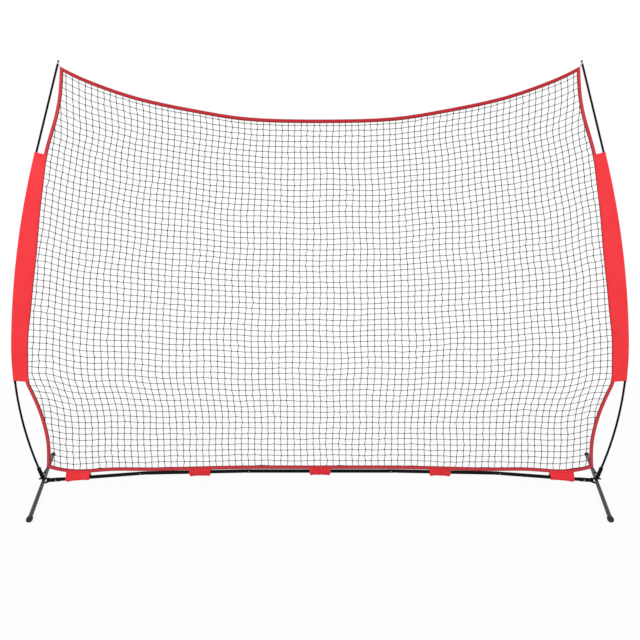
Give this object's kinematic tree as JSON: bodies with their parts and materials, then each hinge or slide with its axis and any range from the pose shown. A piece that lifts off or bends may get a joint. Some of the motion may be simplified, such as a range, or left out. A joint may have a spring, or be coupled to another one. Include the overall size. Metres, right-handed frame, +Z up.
{
  "type": "barrier net",
  "caption": "Wide free-standing ball-sport barrier net: square mesh bound in red tape, stretched between bowed poles in red sleeves above a ground bar on swivelling foot bars.",
  "frame": {"origin": "on the ground, half way between the two corner brackets, in the plane of the net", "axes": "+X to the right along the base bar as seen from the front, +Y to the back, +Z up"},
  "size_m": [4.2288, 1.1172, 2.7825],
  "materials": {
    "powder_coated_steel": "black powder coat, satin",
    "zinc_plated_steel": "bright zinc plate",
    "spring_steel": "oiled spring steel",
    "fibreglass": "black pultruded rod, semi-gloss",
    "rubber": "matt black moulded rubber",
    "nylon": "moulded nylon",
    "net_cord": "twisted knotted polyethylene cord",
    "binding_tape": "woven polyester tape",
    "sleeve_fabric": "coated polyester cloth",
    "tab_webbing": "coated polyester cloth",
    "shock_cord": "braided elastic cord",
    "pale_elastic": "thin braided elastic cord"
  },
  "bodies": {
    "frame": {"corner_bracket_left": "powder_coated_steel", "pole_socket_left": "powder_coated_steel", "base_tube_outer_left": "powder_coated_steel", "base_tube_inner_left": "powder_coated_steel", "pole_section_1_left": "fibreglass", "pole_section_2_left": "fibreglass", "pole_section_3_left": "fibreglass", "pole_section_4_left": "fibreglass", "pole_tip_left": "nylon", "snap_spring_hub_left": "spring_steel", "snap_spring_outer_left": "spring_steel", "snap_spring_inner_left": "spring_steel", "side_binding_left": "binding_tape", "side_sleeve_left": "sleeve_fabric", "end_tab_left": "tab_webbing", "inner_tab_left": "tab_webbing", "corner_bracket_right": "powder_coated_steel", "pole_socket_right": "powder_coated_steel", "base_tube_outer_right": "powder_coated_steel", "base_tube_inner_right": "powder_coated_steel", "pole_section_1_right": "fibreglass", "pole_section_2_right": "fibreglass", "pole_section_3_right": "fibreglass", "pole_section_4_right": "fibreglass", "pole_tip_right": "nylon", "snap_spring_hub_right": "spring_steel", "snap_spring_outer_right": "spring_steel", "snap_spring_inner_right": "spring_steel", "side_binding_right": "binding_tape", "side_sleeve_right": "sleeve_fabric", "end_tab_right": "tab_webbing", "inner_tab_right": "tab_webbing", "base_tube_middle": "powder_coated_steel", "swivel_bolts": "zinc_plated_steel", "swivel_lock_nuts": "zinc_plated_steel", "pole_ferrules": "zinc_plated_steel", "socket_bushes": "nylon", "swivel_washers": "nylon", "pole_shock_cords": "shock_cord", "bottom_corner_loops": "shock_cord", "top_corner_loops": "pale_elastic", "net_panel": "net_cord", "top_binding": "binding_tape", "bottom_binding": "binding_tape", "middle_tab": "tab_webbing"},
    "foot_left": {"foot_bar_left": "powder_coated_steel", "foot_cap_front_left": "rubber", "foot_cap_rear_left": "rubber", "foot_spacer_left": "zinc_plated_steel"},
    "foot_right": {"foot_bar_right": "powder_coated_steel", "foot_cap_front_right": "rubber", "foot_cap_rear_right": "rubber", "foot_spacer_right": "zinc_plated_steel"},
    "button_hub_left": {"snap_button_hub_left": "zinc_plated_steel"},
    "button_outer_left": {"snap_button_outer_left": "zinc_plated_steel"},
    "button_inner_left": {"snap_button_inner_left": "zinc_plated_steel"},
    "button_hub_right": {"snap_button_hub_right": "zinc_plated_steel"},
    "button_outer_right": {"snap_button_outer_right": "zinc_plated_steel"},
    "button_inner_right": {"snap_button_inner_right": "zinc_plated_steel"}
  },
  "joints": [
    {"name": "foot_left_swivel", "type": "hinge", "parent": "frame", "child": "foot_left", "pos_m": [-1.82, 0, 0.0148], "axis": [0, 0, 1], "range_deg": [-67, 13]},
    {"name": "foot_right_swivel", "type": "hinge", "parent": "frame", "child": "foot_right", "pos_m": [1.82, 0, 0.0148], "axis": [0, 0, 1], "range_deg": [-13, 67]},
    {"name": "snap_button_hub_left_press", "type": "slide", "parent": "frame", "child": "button_hub_left", "axis": [0, 1, 0], "range_m": [0, 0.0042], "stiffness_N_per_m": 1500, "springref_m": -0.004, "deforming": ["snap_spring_hub_left"]},
    {"name": "snap_button_outer_left_press", "type": "slide", "parent": "frame", "child": "button_outer_left", "axis": [0, 1, 0], "range_m": [0, 0.0042], "stiffness_N_per_m": 1500, "springref_m": -0.004, "deforming": ["snap_spring_outer_left"]},
    {"name": "snap_button_inner_left_press", "type": "slide", "parent": "frame", "child": "button_inner_left", "axis": [0, 1, 0], "range_m": [0, 0.0042], "stiffness_N_per_m": 1500, "springref_m": -0.004, "deforming": ["snap_spring_inner_left"]},
    {"name": "snap_button_hub_right_press", "type": "slide", "parent": "frame", "child": "button_hub_right", "axis": [0, 1, 0], "range_m": [0, 0.0042], "stiffness_N_per_m": 1500, "springref_m": -0.004, "deforming": ["snap_spring_hub_right"]},
    {"name": "snap_button_outer_right_press", "type": "slide", "parent": "frame", "child": "button_outer_right", "axis": [0, 1, 0], "range_m": [0, 0.0042], "stiffness_N_per_m": 1500, "springref_m": -0.004, "deforming": ["snap_spring_outer_right"]},
    {"name": "snap_button_inner_right_press", "type": "slide", "parent": "frame", "child": "button_inner_right", "axis": [0, 1, 0], "range_m": [0, 0.0042], "stiffness_N_per_m": 1500, "springref_m": -0.004, "deforming": ["snap_spring_inner_right"]}
  ]
}
